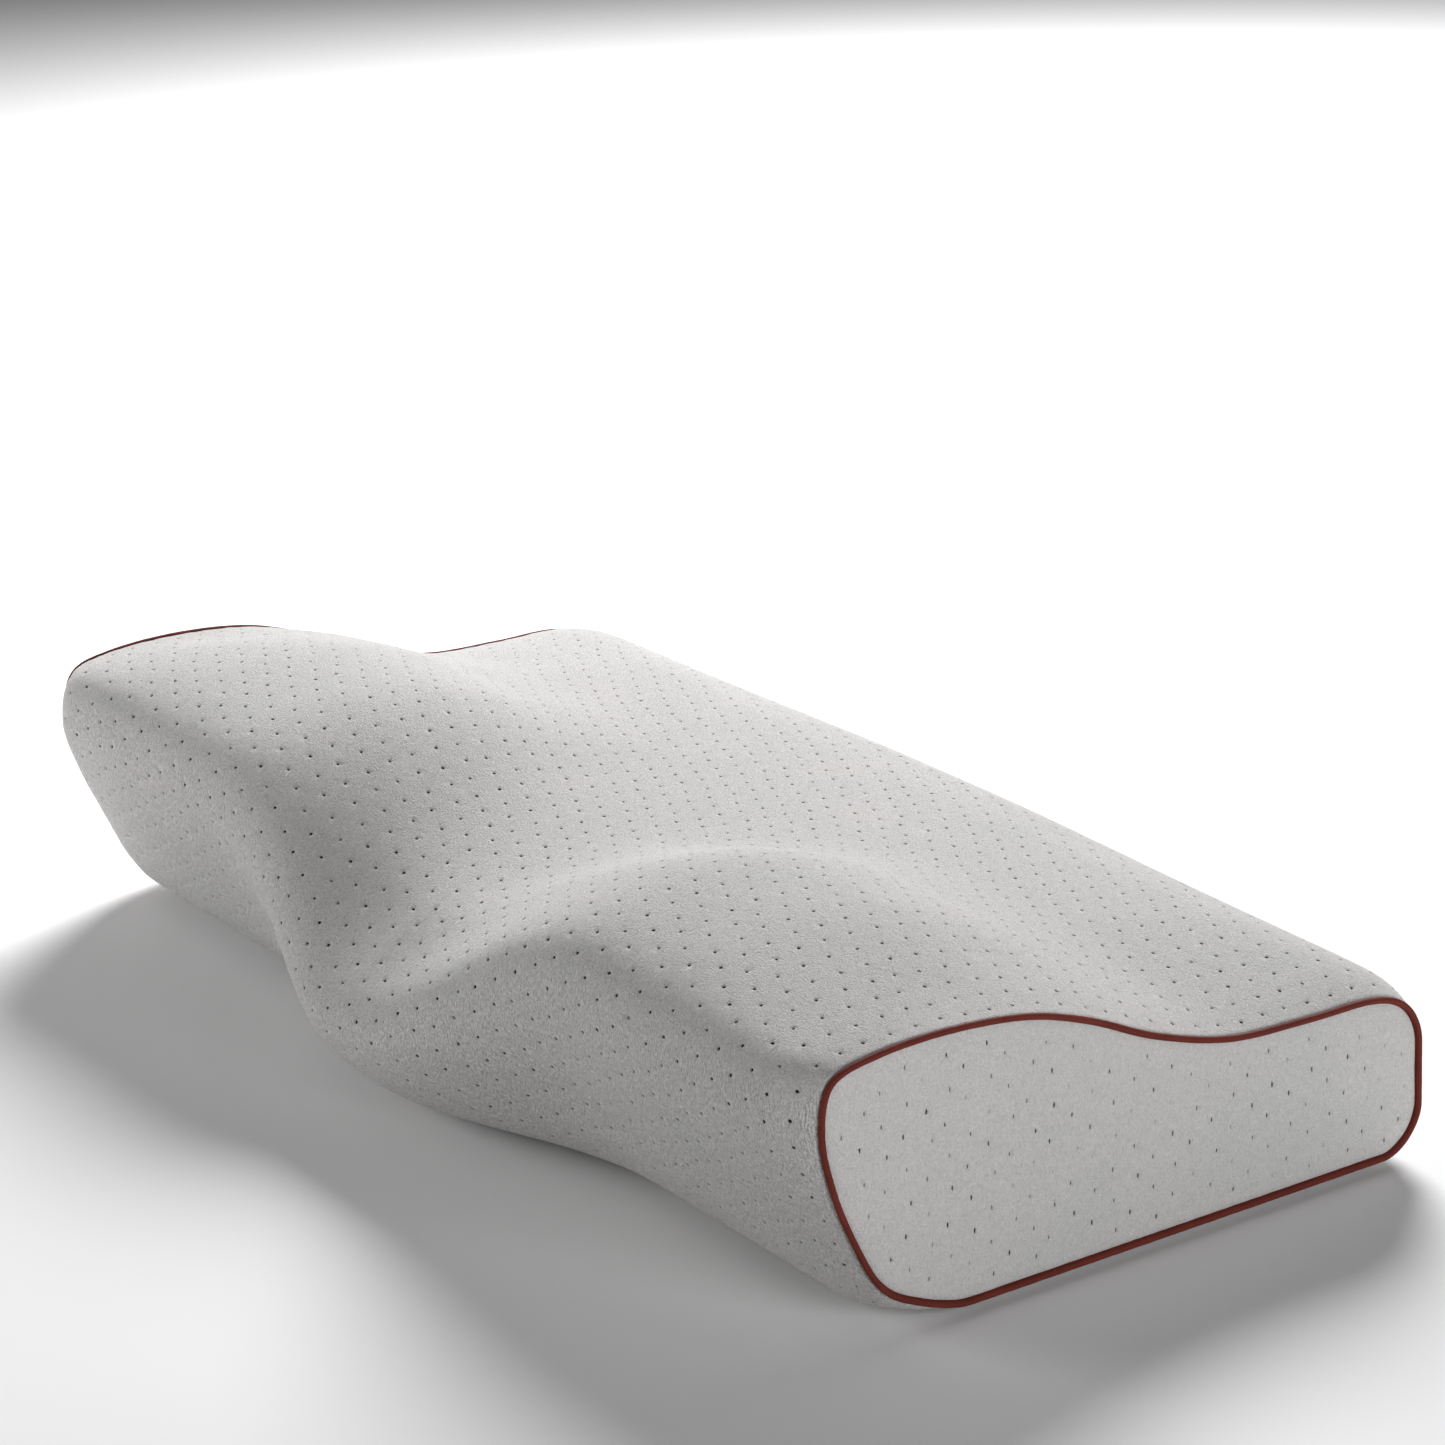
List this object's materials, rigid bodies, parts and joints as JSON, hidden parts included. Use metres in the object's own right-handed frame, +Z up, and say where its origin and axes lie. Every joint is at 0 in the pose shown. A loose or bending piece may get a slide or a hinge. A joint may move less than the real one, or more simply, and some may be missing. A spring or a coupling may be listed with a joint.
{
  "type": "contoured cervical pillow",
  "caption": "Butterfly-shaped contoured foam neck pillow with raised side wings and a hollow that slopes down over the front for the neck, in a piped velour cover that opens with a rear zip.",
  "frame": {"origin": "on the surface the pillow lies on, under the middle of its bounding box", "axes": "+X along the pillow's length, -Y towards the neck edge, +Z up"},
  "size_m": [0.5984, 0.3247, 0.124],
  "materials": {
    "velour": "short-pile light grey velour knit with pin-holes",
    "memory_foam": "moulded slow-rebound polyurethane foam, matt",
    "liner_knit": "thin off-white jersey knit",
    "bias_tape": "red-brown woven bias tape",
    "cotton_cord": "twisted cotton filler cord",
    "zip_tape": "grey woven polyester tape",
    "zip_nylon": "grey nylon coil",
    "zip_metal": "nickel-finished metal"
  },
  "bodies": {
    "pillow": {"foam_core": "memory_foam", "liner_body": "liner_knit", "liner_end_left": "liner_knit", "liner_end_right": "liner_knit", "cover_top_panel": "velour", "cover_bottom_panel": "velour", "cover_end_panel_left": "velour", "cover_end_panel_right": "velour", "piping_tape_left": "bias_tape", "piping_tape_right": "bias_tape", "piping_cord_left": "cotton_cord", "piping_cord_right": "cotton_cord", "zip_tape_upper": "zip_tape", "zip_tape_lower": "zip_tape", "zip_coil_upper": "zip_nylon", "zip_coil_lower": "zip_nylon", "zip_top_stop_upper": "zip_metal", "zip_top_stop_lower": "zip_metal", "zip_bottom_stop": "zip_metal"},
    "slider": {"zip_slider": "zip_metal"},
    "pull": {"zip_pull": "zip_metal"}
  },
  "joints": [
    {"name": "zip_slide", "type": "slide", "parent": "pillow", "child": "slider", "axis": [1, 0, 0], "range_m": [0, 0.4584]},
    {"name": "pull_hinge", "type": "hinge", "parent": "slider", "child": "pull", "pos_m": [-0.2292, 0.1607, 0.037], "axis": [0, 0, 1], "range_deg": [0, 180]}
  ]
}
